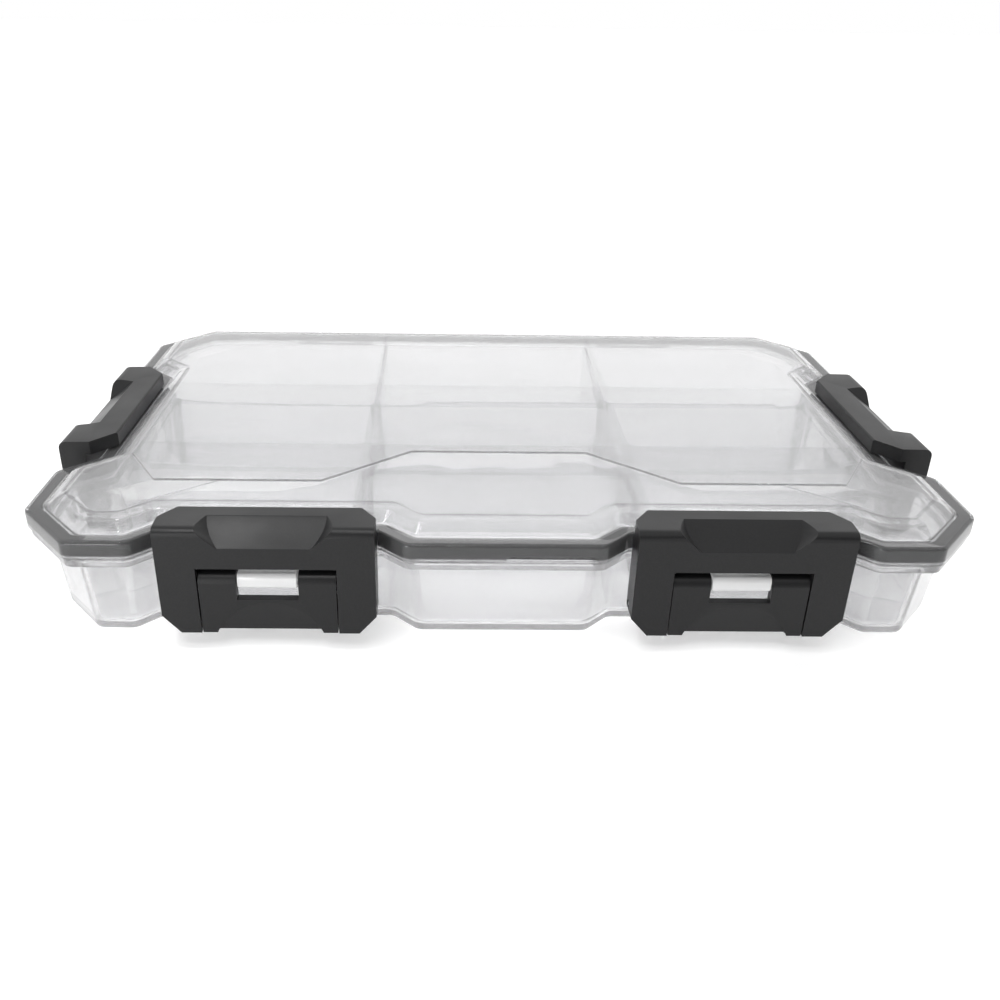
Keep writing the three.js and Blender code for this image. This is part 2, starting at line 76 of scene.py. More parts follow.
camera.matrix_world = Matrix(turn.tolist())
bpy.context.scene.camera = camera

# ---------------------------------------------------------------------------------------------------
# Studio. A white floor under a white sky, a small lamp above the left front latch, a narrow strip that
# draws a line along the latches' crests, a long strip behind the box, and a low lamp at the front left.
FLOOR_Z = -0.0004
SKY_BRIGHT_SIDE = (0.0, 0.6, 0.8)  # the sky is white above and behind, and dark behind the camera


def linear(code):
    """An sRGB hex colour such as "#e5e7e8" as linear RGBA: c / 12.92 below 0.04045, else
    ((c + 0.055) / 1.055) to the power 2.4."""
    c = np.array([int(code[i : i + 2], 16) for i in (1, 3, 5)]) / 255
    rgb = np.where(c <= 0.04045, c / 12.92, ((c + 0.055) / 1.055) ** 2.4)
    return (*rgb.tolist(), 1.0)


def add(tree, kind, values=None, links=None, **settings):
    """Adds one node: its own settings, plain values for its inputs, and links from other outputs."""
    made = tree.nodes.new(kind)
    for name, value in settings.items():
        setattr(made, name, value)
    for name, value in (values or {}).items():
        made.inputs[name].default_value = value
    for name, source in (links or {}).items():
        tree.links.new(source, made.inputs[name])
    return made


def new_material(name):
    """An empty node material and its tree."""
    made = bpy.data.materials.new(name)
    made.use_nodes = True
    made.node_tree.nodes.clear()
    return made, made.node_tree


def soft_light(name, at, aim, size, watts):
    """A rectangular lamp at one point, turned to face another."""
    lamp = bpy.data.lights.new(name, "AREA")
    lamp.shape = "RECTANGLE"
    lamp.size, lamp.size_y = size
    lamp.energy = watts
    made = bpy.data.objects.new(name, lamp)
    bpy.context.scene.collection.objects.link(made)
    made.location = at
    away = (made.location - type(made.location)(aim)).to_track_quat("Z", "Y")
    made.rotation_mode = "QUATERNION"
    made.rotation_quaternion = away
    return made


soft_light("key", (-0.22, -0.25, 0.72), (-0.085, -0.12, 0.05), (0.16, 0.14), 0.9)
soft_light("crest_strip", (-0.2, -0.6, 0.82), (-0.08, -0.11, 0.045), (0.42, 0.05), 1.3)
soft_light("rim_strip", (0.1, 0.75, 0.75), (0.0, -0.05, 0.03), (1.4, 0.25), 1.8)
soft_light("front_left", (-0.5, -0.75, 0.12), (-0.12, -0.12, 0.02), (0.35, 0.3), 2.6)

world = bpy.data.worlds.new("studio")
world.use_nodes = True
tree = world.node_tree
sky = add(tree, "ShaderNodeTexCoord")
height = add(
    tree,
    "ShaderNodeVectorMath",
    {1: SKY_BRIGHT_SIDE},
    {0: sky.outputs["Generated"]},
    operation="DOT_PRODUCT",
)
shade = add(
    tree,
    "ShaderNodeMapRange",
    {"From Min": -0.6, "From Max": 0.45, "To Min": 0.07, "To Max": 1.0},
    {"Value": height.outputs["Value"]},
    interpolation_type="SMOOTHSTEP",
)
tree.links.new(shade.outputs[0], tree.nodes["Background"].inputs["Strength"])
tree.nodes["Background"].inputs["Color"].default_value = linear("#ffffff")
bpy.context.scene.world = world
bpy.context.scene.view_settings.view_transform = "Standard"
bpy.context.scene.cycles.use_denoising = True
bpy.context.scene.cycles.max_bounces = 24
bpy.context.scene.cycles.transmission_bounces = 24
bpy.context.scene.cycles.transparent_max_bounces = 48
bpy.context.scene.cycles.glossy_bounces = 8

floor_paint, tree = new_material("white_table_board")
place = add(tree, "ShaderNodeTexCoord")
grain = add(tree, "ShaderNodeTexNoise", {"Scale": 900.0, "Detail": 3.0}, {"Vector": place.outputs["Object"]})
bump = add(tree, "ShaderNodeBump", {"Strength": 0.02, "Distance": 0.0002}, {"Height": grain.outputs[0]})
board = add(
    tree,
    "ShaderNodeBsdfPrincipled",
    {
        "Base Color": linear("#fbfbfb"),
        "Roughness": 0.6,
        "Specular IOR Level": 0.2,
        "Emission Color": linear("#ffffff"),
        "Emission Strength": 0.16,
    },
    {"Normal": bump.outputs[0]},
)
add(tree, "ShaderNodeOutputMaterial", None, {"Surface": board.outputs[0]})
floor_mesh = bpy.data.meshes.new("floor")
floor_mesh.from_pydata(
    [(-9, -9, FLOOR_Z), (9, -9, FLOOR_Z), (9, 9, FLOOR_Z), (-9, 9, FLOOR_Z)], [], [(0, 1, 2, 3)]
)
floor_mesh.materials.append(floor_paint)
floor = bpy.data.objects.new("floor", floor_mesh)
bpy.context.scene.collection.objects.link(floor)

# ---------------------------------------------------------------------------------------------------
# Clear polycarbonate. The tray and the lid are each one injection moulding, polished in the tool, so
# the faces are glossy with a very slight waviness, and every edge keeps a small radius that catches
# a line of light or dark. The dark lines are painted shade: the faces of those rounded edges get a
# darker grey copy of the clear plastic.
CLEAR_IOR = 1.47  # a little under polycarbonate's 1.58, as the walls here are thin
WAVE_MM = 26  # width of one swell left by the moulding's cooling
HAZE_MM = 0.9  # grain of the faint handling haze, drawn coarser than it is


def clear_material(name, tint, straight, clarity, least_bent=0.68):
    """Clear plastic: a share that bends light as glass does, which grows towards grazing views, and a
    share that lets it straight through, as the thin walls do where they are seen face on. The lamps
    shine through both. tint colours the glass, straight the rest; clarity below 1 adds haze."""
    made, tree = new_material(name)
    place = add(tree, "ShaderNodeTexCoord")
    spot = {"Vector": place.outputs["Object"]}
    waves = add(tree, "ShaderNodeTexNoise", {"Scale": 1000 / WAVE_MM, "Detail": 2.0, "Roughness": 0.4}, spot)
    swell = add(tree, "ShaderNodeBump", {"Strength": 0.25, "Distance": 0.0004}, {"Height": waves.outputs[0]})
    haze = add(tree, "ShaderNodeTexNoise", {"Scale": 1000 / HAZE_MM, "Detail": 4.0}, spot)
    gloss = add(
        tree,
        "ShaderNodeMapRange",
        {"From Min": 0.35, "From Max": 0.75, "To Min": 0.02, "To Max": 0.07},
        {"Value": haze.outputs[0]},
    )
    glass = add(
        tree,
        "ShaderNodeBsdfPrincipled",
        {"Base Color": linear(tint), "Transmission Weight": clarity, "IOR": CLEAR_IOR},
        {"Roughness": gloss.outputs[0], "Normal": swell.outputs[0]},
    )
    through = add(tree, "ShaderNodeBsdfTransparent", {"Color": linear(straight)})
    edge_on = add(tree, "ShaderNodeLayerWeight", {"Blend": 0.42})
    bent = add(
        tree,
        "ShaderNodeMapRange",
        {"From Min": 0.1, "From Max": 0.6, "To Min": least_bent, "To Max": 1.0},
        {"Value": edge_on.outputs["Facing"]},
    )
    seen = add(
        tree,
        "ShaderNodeMixShader",
        None,
        {"Fac": bent.outputs[0], 1: through.outputs[0], 2: glass.outputs[0]},
    )
    ray = add(tree, "ShaderNodeLightPath")
    lit = add(tree, "ShaderNodeBsdfTransparent", {"Color": linear("#fefefe")})
    mixed = add(
        tree,
        "ShaderNodeMixShader",
        None,
        {"Fac": ray.outputs["Is Shadow Ray"], 1: seen.outputs[0], 2: lit.outputs[0]},
    )
    add(tree, "ShaderNodeOutputMaterial", None, {"Surface": mixed.outputs[0]})
    return made


clear_plastic = clear_material("clear_polycarbonate_moulded", "#e5e5e6", "#efefef", 0.93)
# Painted shade: a darker grey copy of the clear plastic for the rounded edges, standing for the dark lines that
# light draws along a clear edge.
edge_plastic_painted_shade = clear_material("clear_polycarbonate_edge_painted_shade", "#b4b4b5", "#c4c4c4", 0.95)
# Painted light: a near-white, hazier copy of the tray's clear plastic for the latch knuckles, painted brighter
# to stand for the light that a thick clear block gathers.
thick_plastic_painted_light = clear_material("clear_polycarbonate_thick_painted_light", "#fbfbfb", "#ffffff", 0.45, 0.9)

# ---------------------------------------------------------------------------------------------------
# Rim. Tray, lid and seal all follow one outline: a rectangle with cut corners and a recess with
# slanted ends for each latch. It is the path that their cross-sections are carried along.
RIM_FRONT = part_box("lid")[0].y * 1000  # where depth 0 lies, front to back
RIM_Z = 43.8  # top face of the lid's rim
HALF_WIDTH = 180.0
DEPTH = 242.0
CORNER_CUT = (22.5, 25.0)
CORNER_ROUND = 5.0
FRONT_LATCH_X = 85.5
SIDE_LATCH_Y = 117.0
LATCH = {
    "front": {"width": 78.0, "lever": 49.4, "window": 22.3, "recess": 9.5, "slant": 10.0},
    "side": {"width": 92.0, "lever": 56.0, "window": 25.0, "recess": 13.5, "slant": 12.5},
}
LATCH_CLEAR = 0.5
LATCH_SPOTS = {
    "front_left": ("front", -FRONT_LATCH_X, 0.0, 0),
    "front_right": ("front", FRONT_LATCH_X, 0.0, 0),
    "side_left": ("side", -HALF_WIDTH, SIDE_LATCH_Y, -1),
    "side_right": ("side", HALF_WIDTH, SIDE_LATCH_Y, 1),
}  # kind, x, depth, quarter turns anticlockwise
NOTCH_HEIGHT = 2.2  # finger notch in the front skirt, from the middle to the right latch's recess


def rim_corners():
    """The outline's 24 corners, anticlockwise from the right end of the front's middle straight: the
    right half as written, then its mirror image in reverse order."""
    reach = {kind: size["width"] / 2 + LATCH_CLEAR for kind, size in LATCH.items()}
    front, side = LATCH["front"], LATCH["side"]
    right_half = [
        (FRONT_LATCH_X - reach["front"] - front["slant"], 0),
        (FRONT_LATCH_X - reach["front"], front["recess"]),
        (FRONT_LATCH_X + reach["front"], front["recess"]),
        (FRONT_LATCH_X + reach["front"] + front["slant"], 0),
        (HALF_WIDTH - CORNER_CUT[0], 0),
        (HALF_WIDTH, CORNER_CUT[1]),
        (HALF_WIDTH, SIDE_LATCH_Y - reach["side"] - side["slant"]),
        (HALF_WIDTH - side["recess"], SIDE_LATCH_Y - reach["side"]),
        (HALF_WIDTH - side["recess"], SIDE_LATCH_Y + reach["side"]),
        (HALF_WIDTH, SIDE_LATCH_Y + reach["side"] + side["slant"]),
        (HALF_WIDTH, DEPTH - CORNER_CUT[1]),
        (HALF_WIDTH - CORNER_CUT[0], DEPTH),
    ]
    return np.array(right_half + [(-x, y) for x, y in right_half[::-1]], float)


def moved_in(corners, inset):
    """The polygon moved inwards by inset: each corner goes along the sum of its two inward normals,
    by inset over one plus the cosine of its turn."""
    into = corners - np.roll(corners, 1, 0)
    into /= np.linalg.norm(into, axis=1, keepdims=True)
    out = np.roll(into, -1, 0)
    inward = np.stack([-into[:, 1] - out[:, 1], into[:, 0] + out[:, 0]], 1)
    return corners + inward * (inset / (1 + (into * out).sum(1)))[:, None]


def rounded_loop(corners, inset=0.0, radius=CORNER_ROUND, steps=6, stations=np.linspace(0.03, 0.97, 10)):
    """The moved-in polygon with corners rounded: from a tangent length of radius times the tangent of
    half the turn, capped at 0.42 of a side, a quadratic curve bends round each corner. stations are
    the shares of each straight that also get a point."""
    p = moved_in(np.asarray(corners, float), inset)
    last, following = np.roll(p, 1, 0) - p, np.roll(p, -1, 0) - p
    a, b = np.linalg.norm(last, axis=1), np.linalg.norm(following, axis=1)
    half_turn = (np.pi - np.arccos(np.clip((last * following).sum(1) / (a * b), -1, 1))) / 2
    tangent = np.minimum(radius * np.tan(half_turn), 0.42 * np.minimum(a, b))
    start = p + last * (tangent / a)[:, None]
    end = p + following * (tangent / b)[:, None]
    t = np.linspace(0, 1, steps + 1)[None, :, None]
    arcs = (1 - t) ** 2 * start[:, None] + 2 * t * (1 - t) * p[:, None] + t**2 * end[:, None]
    s = np.asarray(stations, float)
    s = np.broadcast_to(s, (len(p), s.shape[-1]))
    straights = end[:, None] * (1 - s[:, :, None]) + np.roll(start, -1, 0)[:, None] * s[:, :, None]
    return np.concatenate([arcs, straights], 1).reshape(-1, 2)


def rounded_profile(points, radii, steps=5):
    """An open line through points, with corner i eased by a quadratic curve that begins radii[i]
    before it and ends as far after it, capped at 0.45 of the straights beside it."""
    p, r = np.asarray(points, float), np.asarray(radii, float)
    before, after = np.roll(p, 1, 0) - p, np.roll(p, -1, 0) - p
    a, b = np.linalg.norm(before, axis=1), np.linalg.norm(after, axis=1)
    r = np.minimum(r, 0.45 * np.minimum(a, b))
    start, end = p + before * (r / a)[:, None], p + after * (r / b)[:, None]
    t = np.linspace(0, 1, steps + 1)[None, :, None]
    line = ((1 - t) ** 2 * start[:, None] + 2 * t * (1 - t) * p[:, None] + t**2 * end[:, None]).reshape(-1, 2)
    fresh = np.r_[True, np.linalg.norm(np.diff(line, axis=0), axis=1) > 1e-4]
    return line[fresh]


# Faces in strips narrower than this, in millimetres, count as rounded edges and get painted shade from the
# darker copy of the clear plastic.
EDGE_STRIP = 0.32


def shell(rows, capped=True, ring=False):
    """A grid of points, rows by points round, as one closed surface: quads between neighbouring rows
    and round each row. Its first and last rows are capped, or joined to each other in a ring. The
    faces are turned round if the volume they enclose comes out negative. The flags tell which faces
    lie in strips narrower than EDGE_STRIP, on average: those are the rounded edges, where a darker
    material paints shade."""
    m, n = rows.shape[:2]
    count = m if ring else m - 1
    i, j = np.meshgrid(np.arange(count), np.arange(n), indexing="ij")
    down_row, next_point = (i + 1) % m, (j + 1) % n
    quads = np.stack([i * n + j, i * n + next_point, down_row * n + next_point, down_row * n + j], -1)
    quads = quads.reshape(-1, 4)
    faces = quads.tolist()
    strips = np.linalg.norm(np.roll(rows, -1, 0) - rows, axis=2).mean(1)[:count]
    painted_shade_flags = np.repeat(strips < EDGE_STRIP, n).tolist()
    if capped and not ring:
        faces += [list(range(n))[::-1], list(range((m - 1) * n, m * n))]
        painted_shade_flags += [False, False]
    points = rows.reshape(-1, 3)
    fans = [(f[0], f[k], f[k + 1]) for f in faces for k in range(1, len(f) - 1)]
    a, b, c = points[np.array(fans)].transpose(1, 0, 2)
    if (a * np.cross(b, c)).sum() < 0:
        faces = [f[::-1] for f in faces]
    return points, faces, painted_shade_flags


def carried(profile, corners=None, **options):
    """A profile of (inset, height) carried round an outline: one loop for each of its points."""
    outline = rim_corners() if corners is None else corners
    return np.stack(
        [
            np.c_[loop := rounded_loop(outline, inset, **options), np.full(len(loop), z)]
            for inset, z in profile
        ]
    )


def make_piece(name, shells, materials, body, replaces=(), smooth=38):
    """Joins closed shells, in millimetres from the rim's front, into one object in metres. A second
    material, where there is one, goes on the rounded edges, and on the clear parts it paints shade there."""
    points, faces, edges, first = [], [], [], 0
    for vertices, polygons, painted_shade_flags in shells:
        points.append(vertices)
        faces += [[first + k for k in f] for f in polygons]
        edges += painted_shade_flags
        first += len(vertices)
    at = (np.concatenate(points) + (0, RIM_FRONT, 0)) / 1000
    mesh = bpy.data.meshes.new(name)
    mesh.from_pydata(at.tolist(), [], faces)
    for material in materials:
        mesh.materials.append(material)
    # Faces flagged as rounded edges take the second material, which on the clear parts is painted shade.
    if len(materials) > 1:
        mesh.polygons.foreach_set("material_index", np.array(edges, np.int32))
    mesh.shade_smooth()
    mesh.set_sharp_from_angle(angle=np.radians(smooth))
    made = bpy.data.objects.new(name, mesh)
    bpy.context.scene.collection.objects.link(made)
    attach(made, body)
    if replaces:
        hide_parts(*replaces)
    return made


def pushed(corners, rows, along, radius=0.3, steps=2):
    """A polygon pushed along an axis, as loops moved in by the rows' insets at the rows' places:
    rows are (inset, place). along "x" reads the polygon as (depth, height), "y" as (x, height) and
    "z" as (x, depth)."""
    grid = carried(rows, np.asarray(corners, float), radius=radius, steps=steps, stations=(0.1, 0.9))
    return grid[..., {"x": [2, 0, 1], "y": [0, 2, 1], "z": [0, 1, 2]}[along]]


def eased(low, high, edge):
    """Rows for pushed: from low to high, with the two end faces moved in to round their edges."""
    near = edge * 0.3
    lower = [(edge, low), (near, low + near), (0, low + edge)]
    return lower + [(0, high - edge), (near, high - near), (edge, high)]


def at_latch(points, spot):
    """Points in a latch's own frame (x along its width, y inwards, z from the rim's top) as placed on
    the box: turned by quarter turns, then moved."""
    _, x, y, quarters = LATCH_SPOTS[spot]
    c, s = [(1, 0), (0, 1), (-1, 0), (0, -1)][quarters % 4]
    spun = points @ np.array([[c, s, 0], [-s, c, 0], [0, 0, 1]], float)
    return spun + (x, y, RIM_Z)


# ---------------------------------------------------------------------------------------------------
# Tray. One clear moulding with nine compartments: drafted walls, a floor that curves up into them, a
# flange with an upstanding tongue for the seal, two fixed partitions with slots for cross dividers,
# knuckles for the latches' pins and the ends of the two rear hinges.
TRAY_FLOOR = 2.0
WALL_FOOT, WALL_HEAD = 9.8, 6.5  # inset of the outer wall at the floor and under the flange
WALL = 2.0
FLANGE = (32.8, 36.0)
TONGUE = (2.5, 4.5, 38.5)
FLOOR_ROUND = 6.0
PARTITION_X, PARTITION_T, PARTITION_TOP = 56.5, 1.8, 35.2
DIVIDER_Y, DIVIDER_T, DIVIDER_TOP = (86.0, 156.0), 1.6, 34.6
DIVIDER_CLEAR = 0.35
GUIDE_T, GUIDE_DEEP = 1.2, 1.6
PIVOT_Y, PIVOT_Z, BARREL_R = 1.7, -15.6, 3.9
KNUCKLE_FOOT = -2.3  # lower face of a latch's clear knuckle, from its pin
HINGE_X, HINGE_Y, HINGE_Z, HINGE_R = 85.5, 245.8, 36.3, 3.2
HINGE_MIDDLE, HINGE_END, HINGE_GAP = 20.0, 10.0, 0.4

# the middle front straight has points where the finger notch begins and ends
rim_stations = np.tile(np.linspace(0.03, 0.97, 10), (24, 1))
rim_stations[23] = (0.03, 0.18, 0.34, 0.49, 0.51, 0.6, 0.7, 0.8, 0.9, 0.97)

tray_profile = rounded_profile(
    [
        (WALL_FOOT + 5, 0),
        (WALL_FOOT, 0),
        (WALL_HEAD + 0.3, FLANGE[0]),
        (1.0, FLANGE[0]),
        (1.0, FLANGE[1]),
        (TONGUE[0], FLANGE[1]),
        (TONGUE[0], TONGUE[2]),
        (TONGUE[1], TONGUE[2]),
        (TONGUE[1], FLANGE[1]),
        (WALL_HEAD + WALL, FLANGE[1]),
        (WALL_FOOT + WALL, TRAY_FLOOR),
        (WALL_FOOT + WALL + 9, TRAY_FLOOR),
    ],
    [0, 2.2, 0.6, 0.5, 0.5, 0.3, 0.6, 0.6, 0.3, 0.7, FLOOR_ROUND, 0],
)
tray_shells = [shell(carried(tray_profile, stations=rim_stations))]

front_at_latch = LATCH["front"]["recess"]
for side in (-1, 1):
    x = side * PARTITION_X
    wall_of_partition = [
        (front_at_latch + WALL_FOOT + 1, 1.5),
        (DEPTH - WALL_FOOT - 1, 1.5),
        (DEPTH - WALL_HEAD - 1.1, PARTITION_TOP),
        (front_at_latch + WALL_HEAD + 1.1, PARTITION_TOP),
    ]
    tray_shells.append(
        shell(pushed(wall_of_partition, eased(x - PARTITION_T / 2, x + PARTITION_T / 2, 0.4), "x", 0.5))
    )
    for y in DIVIDER_Y:
        for rib in (-1, 1):
            near = y + rib * (DIVIDER_T / 2 + DIVIDER_CLEAR)
            low, high = sorted((near, near + rib * GUIDE_T))
            deep = PARTITION_T / 2 + GUIDE_DEEP
            on_partition = [
                (x - deep, 1.5),
                (x + deep, 1.5),
                (x + deep, DIVIDER_TOP),
                (x - deep, DIVIDER_TOP),
            ]
            tray_shells.append(shell(pushed(on_partition, eased(low, high, 0.35), "y", 0.4)))
            foot = HALF_WIDTH - LATCH["side"]["recess"] - WALL_FOOT - WALL
            on_wall = [
                (foot - GUIDE_DEEP, 1.5),
                (foot + 0.8, 1.5),
                (foot + WALL_FOOT - WALL_HEAD + 0.6, DIVIDER_TOP),
                (foot - GUIDE_DEEP, DIVIDER_TOP),
            ]
            grid = pushed(on_wall, eased(low, high, 0.35), "y", 0.4) * (side, 1, 1)
            tray_shells.append(shell(grid))


knuckle_shells = []
for spot, (kind, _, _, _) in LATCH_SPOTS.items():
    half = LATCH[kind]["window"] / 2 - 0.4
    root = LATCH[kind]["recess"] + WALL_HEAD + 1 - PIVOT_Y  # a millimetre inside the tray's wall
    block = [(-BARREL_R, KNUCKLE_FOOT), (root, KNUCKLE_FOOT), (root, BARREL_R), (-BARREL_R, BARREL_R)]
    section = rounded_loop(block, 0, 2.4, 6, (0.5,))
    grid = pushed(section + (PIVOT_Y, PIVOT_Z), eased(-half, half, 0.6), "x", 0.1, 1)
    knuckle_shells.append(shell(at_latch(grid, spot)))
for side in (-1, 1):
    for end in (-1, 1):
        near = HINGE_MIDDLE / 2 + HINGE_GAP
        low, high = sorted((end * near, end * (near + HINGE_END)))
        a = np.linspace(-0.5 * np.pi, 1.25 * np.pi, 22)
        hook = np.r_[
            np.c_[np.cos(a), np.sin(a)] * HINGE_R,
            [(-HINGE_R - 4, -0.6), (-11.3, -0.6), (-11.3, -HINGE_R)],
        ]
        ends = eased(side * HINGE_X + low, side * HINGE_X + high, 0.4)
        grid = pushed(hook + (HINGE_Y, HINGE_Z), ends, "x", 0.1, 1)
        tray_shells.append(shell(grid))

moulded = [clear_plastic, edge_plastic_painted_shade]
make_piece("tray_moulding", tray_shells, moulded, "tray", ["base_tray"])

# The knuckles take the brighter copy of the clear plastic, which is painted light.
make_piece("tray_latch_knuckles", knuckle_shells, [thick_plastic_painted_light], "tray")

# ---------------------------------------------------------------------------------------------------
# Lid. A clear moulding: a skirt with the seal's channel inside, a flat rim, a steep riser and a top
# with a slightly raised panel whose front is cut back in the middle. Two knuckles hinge it.
SKIRT_FOOT = 36.3
LID_TOP = 48.8
SHOULDER = (10.5, 47.6)
TOP_INSET = 14.0
RIM_FLAT = 6.5
CHANNEL = (1.6, 5.4, 42.7)
LIP = 6.9
LID_WALL = 1.9
PANEL_HEIGHT = 0.6
PANEL_RIGHT = [(36, 68), (70, 40), (135, 40), (150, 64), (150, 182), (135, 197)]

lid_profile = rounded_profile(
    [
        (TOP_INSET + 1.5, LID_TOP),
        (TOP_INSET, LID_TOP),
        SHOULDER,
        (RIM_FLAT, RIM_Z),
        (0, RIM_Z),
        (0, SKIRT_FOOT),
        (CHANNEL[0], SKIRT_FOOT),
        (CHANNEL[0], CHANNEL[2]),
        (CHANNEL[1], CHANNEL[2]),
        (CHANNEL[1], SKIRT_FOOT),
        (LIP, SKIRT_FOOT),
        (LIP, RIM_Z - LID_WALL),
        (SHOULDER[0] + LID_WALL / 2, SHOULDER[1] - LID_WALL),
        (TOP_INSET + LID_WALL / 2, LID_TOP - LID_WALL),
        (TOP_INSET + LID_WALL / 2 + 2, LID_TOP - LID_WALL),
    ],
    [0, 0.9, 0.9, 0.9, 1.6, 0.35, 0.3, 0.3, 0.3, 0.3, 0.3, 0.9, 1, 0.9, 0],
)
lid_grid = carried(lid_profile, stations=rim_stations)
# the finger notch lifts the foot of the outer skirt between the middle and the right latch's recess
x, y, z = lid_grid[..., 0], lid_grid[..., 1], lid_grid[..., 2]
notched = (x > 0) & (x < 33.2) & (y < CHANNEL[0] + 0.3) & (z < SKIRT_FOOT + 0.5)
lid_grid[..., 2] += NOTCH_HEIGHT * notched


def on_polygon(corners, directions):
    """Where rays from the box's middle, at the given angles, cross a polygon. Each of its corners then
    takes the place of the crossing nearest to it in angle, so that the corners stay sharp."""
    middle = np.array((0.0, DEPTH / 2))
    a = corners - middle
    edge = np.roll(a, -1, 0) - a
    ray = np.c_[np.cos(directions), np.sin(directions)]
    across = ray[:, None, 0] * edge[None, :, 1] - ray[:, None, 1] * edge[None, :, 0]
    across = np.where(np.abs(across) < 1e-9, 1e-9, across)
    far = (a[None, :, 0] * edge[None, :, 1] - a[None, :, 1] * edge[None, :, 0]) / across
    share = (a[None, :, 0] * ray[:, None, 1] - a[None, :, 1] * ray[:, None, 0]) / across
    far = np.where((share >= -1e-6) & (share <= 1 + 1e-6) & (far > 0), far, np.inf).min(1)
    points = ray * far[:, None]
    corner_angles = np.arctan2(a[:, 1], a[:, 0])
    gap = np.abs((directions[:, None] - corner_angles[None, :] + np.pi) % (2 * np.pi) - np.pi)
    points[gap.argmin(0)] = a
    return points + middle


panel = np.array(PANEL_RIGHT + [(-x, y) for x, y in PANEL_RIGHT[::-1]], float)
top_loop = lid_grid[0, :, :2] - (0, DEPTH / 2)
directions = np.arctan2(top_loop[:, 1], top_loop[:, 0])
panel_rows = [(0.5, 1), (0.2, 0.95), (0.05, 0.75), (0, 1 / 3), (-0.1, 0.1), (-0.4, 0)]  # inset, share of height
panel_grid = np.stack(
    [
        np.insert(on_polygon(moved_in(panel, inset), directions), 2, LID_TOP + PANEL_HEIGHT * rise, axis=1)
        for inset, rise in panel_rows
    ]
)
lid_shells = [shell(np.concatenate([panel_grid, lid_grid]))]
for side in (-1, 1):
    a = np.linspace(-1.25 * np.pi, 0.5 * np.pi, 22)
    hook = np.r_[
        np.c_[np.cos(a), np.sin(a)] * HINGE_R,
        [(-HINGE_Y + DEPTH - 1.2, HINGE_R), (-HINGE_Y + DEPTH - 1.2, 0.2)],
    ]
    half = HINGE_MIDDLE / 2
    ends = eased(side * HINGE_X - half, side * HINGE_X + half, 0.4)
    grid = pushed(hook + (HINGE_Y, HINGE_Z), ends, "x", 0.1, 1)
    lid_shells.append(shell(grid))
make_piece("lid_moulding", lid_shells, [clear_plastic, edge_plastic_painted_shade], "lid", ["lid"])

# ---------------------------------------------------------------------------------------------------
# Seal. A channel-shaped ring of dark grey silicone rubber pressed into the lid's channel; the tray's
# tongue closes between its lips. Moulded rubber is dull, with a fine dusty grain.
SEAL = (1.55, 5.45, 37.1, 42.75)  # inset of its two faces, foot and top: it fills the channel
SEAL_LIP = 0.75  # the two lips that stand beside the tray's tongue
SEAL_SEAT = 38.85

seal_rubber, tree = new_material("silicone_rubber_moulded")
place = add(tree, "ShaderNodeTexCoord")
spot = {"Vector": place.outputs["Object"]}
dust = add(tree, "ShaderNodeTexNoise", {"Scale": 1000 / 0.7, "Detail": 5.0}, spot)
tone = add(tree, "ShaderNodeValToRGB", None, {"Fac": dust.outputs[0]})
tone.color_ramp.elements[0].position, tone.color_ramp.elements[1].position = 0.3, 0.75
tone.color_ramp.elements[0].color = linear("#161617")
tone.color_ramp.elements[1].color = linear("#2a2a2b")
dents = add(tree, "ShaderNodeBump", {"Strength": 0.3, "Distance": 0.00003}, {"Height": dust.outputs[0]})
rubber = add(
    tree,
    "ShaderNodeBsdfPrincipled",
    {"Roughness": 0.62, "Specular IOR Level": 0.4},
    {"Base Color": tone.outputs[0], "Normal": dents.outputs[0]},
)
add(tree, "ShaderNodeOutputMaterial", None, {"Surface": rubber.outputs[0]})

outer, inner, low, high = SEAL
section = [
    (outer, low),
    (outer + SEAL_LIP, low),
    (outer + SEAL_LIP, SEAL_SEAT),
    (inner - SEAL_LIP, SEAL_SEAT),
    (inner - SEAL_LIP, low),
    (inner, low),
    (inner, high),
    (outer, high),
]
seal_profile = rounded_loop(section, 0, 0.3, 4, (0.5,))
make_piece(
    "seal_ring_rubber",
    [shell(carried(seal_profile, stations=rim_stations), ring=True)],
    [seal_rubber],
    "lid",
    ["seal_ring"],
)

# ---------------------------------------------------------------------------------------------------
# Dividers. Six loose cross walls, stamped from clear sheet with polished edges, that drop between the
# guides. They are a shade milkier than the tray.
divider_plastic = clear_material("clear_styrene_sheet", "#e9eaeb", "#f1f1f1", 0.9, 0.5)

bottom = TRAY_FLOOR + DIVIDER_CLEAR
partition_face = PARTITION_X - PARTITION_T / 2 - DIVIDER_CLEAR
wall_head = HALF_WIDTH - LATCH["side"]["recess"] - WALL_HEAD - WALL - DIVIDER_CLEAR - 0.15
wall_foot = wall_head - (WALL_FOOT - WALL_HEAD) + 0.2
outer_face = partition_face + PARTITION_T + 2 * DIVIDER_CLEAR
right_plate = [(outer_face, bottom), (wall_foot, bottom), (wall_head, DIVIDER_TOP), (outer_face, DIVIDER_TOP)]
middle_plate = [
    (-partition_face, bottom),
    (partition_face, bottom),
    (partition_face, DIVIDER_TOP),
    (-partition_face, DIVIDER_TOP),
]
for column, plate, sign in (
    ("left", right_plate, -1),
    ("middle", middle_plate, 1),
    ("right", right_plate, 1),
):
    for row, y in zip(("front", "rear"), DIVIDER_Y):
        grid = pushed(plate, eased(y - DIVIDER_T / 2, y + DIVIDER_T / 2, 0.3), "y", 1.2, 4) * (sign, 1, 1)
        make_piece(
            f"divider_plate_{column}_{row}",
            [shell(grid)],
            [divider_plastic, edge_plastic_painted_shade],
            "tray",
            [f"divider_{column}_{row}"],
        )

